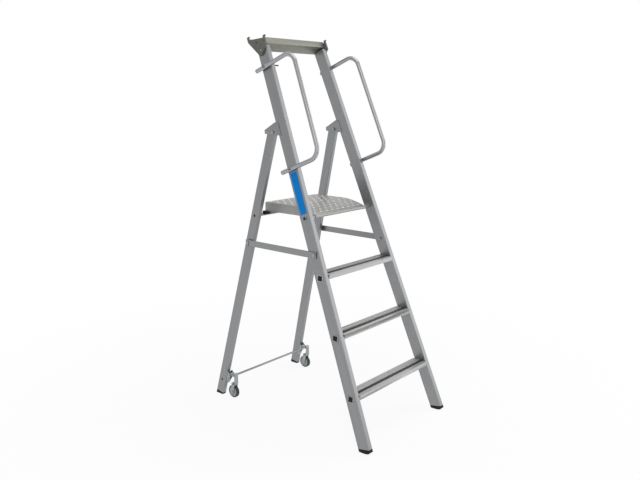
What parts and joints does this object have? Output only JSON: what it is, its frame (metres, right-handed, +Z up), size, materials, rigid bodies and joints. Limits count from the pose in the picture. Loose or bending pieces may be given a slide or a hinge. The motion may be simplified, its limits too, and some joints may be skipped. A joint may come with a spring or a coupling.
{
  "type": "mobile platform stepladder",
  "caption": "Single-sided aluminium stepladder with a lifting platform, handrails, a head tray and sprung castors inside its folding rear legs.",
  "frame": {"origin": "floor level, centre of the footprint", "axes": "+X across the steps to the right as seen by someone about to climb, +Y from the climbing side to the rear legs, +Z up"},
  "size_m": [0.582, 0.9616, 1.7042],
  "materials": {
    "satin_alloy": "extruded, satin, fine lines along the tube",
    "tread_alloy": "extruded, ribbed",
    "platform_alloy": "pressed sheet with raised studs",
    "bright_alloy": "drawn tube, bright",
    "zinc_steel": "zinc plated",
    "black_rubber": "moulded",
    "grip_rubber": "ribbed",
    "castor_tyre": "smooth",
    "hub_plastic": "moulded",
    "cap_plastic": "moulded, fine grain",
    "blue_band": "plain film"
  },
  "bodies": {
    "front_frame": {"left_stile": "satin_alloy", "right_stile": "satin_alloy", "lower_tread": "tread_alloy", "middle_tread": "tread_alloy", "upper_tread": "tread_alloy", "spigot_plugs": "black_rubber", "lower_grip_strip": "grip_rubber", "middle_grip_strip": "grip_rubber", "upper_grip_strip": "grip_rubber", "left_front_foot": "black_rubber", "right_front_foot": "black_rubber", "left_handrail": "bright_alloy", "right_handrail": "bright_alloy", "handrail_plugs": "hub_plastic", "handrail_bolts": "zinc_steel", "tool_tray": "satin_alloy", "left_tray_cap": "cap_plastic", "right_tray_cap": "cap_plastic", "tray_cap_screws": "zinc_steel", "left_hinge_gusset": "satin_alloy", "right_hinge_gusset": "satin_alloy", "gusset_rivets": "zinc_steel", "hinge_bolts": "zinc_steel", "platform_pivot_rod": "zinc_steel", "strut_pivot_bolts": "zinc_steel", "stile_band": "blue_band"},
    "platform": {"platform_plate": "platform_alloy", "platform_curl": "platform_alloy", "platform_studs": "platform_alloy"},
    "rear_frame": {"left_rear_leg": "satin_alloy", "right_rear_leg": "satin_alloy", "rear_cross_tube": "satin_alloy", "platform_rest_pads": "black_rubber", "left_rear_foot": "black_rubber", "right_rear_foot": "black_rubber", "left_castor_bracket": "zinc_steel", "right_castor_bracket": "zinc_steel", "castor_pivot_pins": "zinc_steel", "bracket_bolts": "zinc_steel", "strut_hook_studs": "zinc_steel"},
    "left_strut": {"left_strut": "satin_alloy"},
    "right_strut": {"right_strut": "satin_alloy"},
    "castor_carriage": {"left_castor_arm": "zinc_steel", "right_castor_arm": "zinc_steel", "castor_cross_rod": "zinc_steel"},
    "left_fork": {"left_castor_fork": "zinc_steel", "left_castor_axle": "zinc_steel"},
    "right_fork": {"right_castor_fork": "zinc_steel", "right_castor_axle": "zinc_steel"},
    "left_wheel": {"left_castor_wheel": "hub_plastic", "left_castor_tyre": "castor_tyre"},
    "right_wheel": {"right_castor_wheel": "hub_plastic", "right_castor_tyre": "castor_tyre"}
  },
  "joints": [
    {"name": "platform_lift", "type": "hinge", "parent": "front_frame", "child": "platform", "pos_m": [0, -0.08037, 0.934], "axis": [1, 0, 0], "range_deg": [0, 68]},
    {"name": "rear_fold", "type": "hinge", "parent": "front_frame", "child": "rear_frame", "pos_m": [0, 0.12212, 1.289], "axis": [-1, 0, 0], "range_deg": [0, 29]},
    {"name": "left_strut_swing", "type": "hinge", "parent": "front_frame", "child": "left_strut", "pos_m": [-0.25147, -0.13936, 0.785], "axis": [1, 0, 0], "range_deg": [0, 56]},
    {"name": "right_strut_swing", "type": "hinge", "parent": "front_frame", "child": "right_strut", "pos_m": [0.25147, -0.13936, 0.785], "axis": [1, 0, 0], "range_deg": [0, 56]},
    {"name": "castor_spring", "type": "hinge", "parent": "rear_frame", "child": "castor_carriage", "pos_m": [0, 0.39117, 0.112], "axis": [-1, 0, 0], "range_deg": [0, 8], "stiffness_Nm_per_rad": 20, "springref_deg": -17.19},
    {"name": "left_castor_swivel", "type": "hinge", "parent": "castor_carriage", "child": "left_fork", "pos_m": [-0.25958, 0.36718, 0.07], "axis": [0, 0, 1], "continuous": true},
    {"name": "left_wheel_spin", "type": "hinge", "parent": "left_fork", "child": "left_wheel", "pos_m": [-0.25958, 0.37318, 0.031], "axis": [1, 0, 0], "continuous": true},
    {"name": "right_castor_swivel", "type": "hinge", "parent": "castor_carriage", "child": "right_fork", "pos_m": [0.25958, 0.36718, 0.07], "axis": [0, 0, 1], "continuous": true},
    {"name": "right_wheel_spin", "type": "hinge", "parent": "right_fork", "child": "right_wheel", "pos_m": [0.25958, 0.37318, 0.031], "axis": [1, 0, 0], "continuous": true}
  ],
  "couplings": [
    {"joint": "left_strut_swing", "follows": "rear_fold", "ratio": 1.9},
    {"joint": "right_strut_swing", "follows": "rear_fold", "ratio": 1.9}
  ]
}
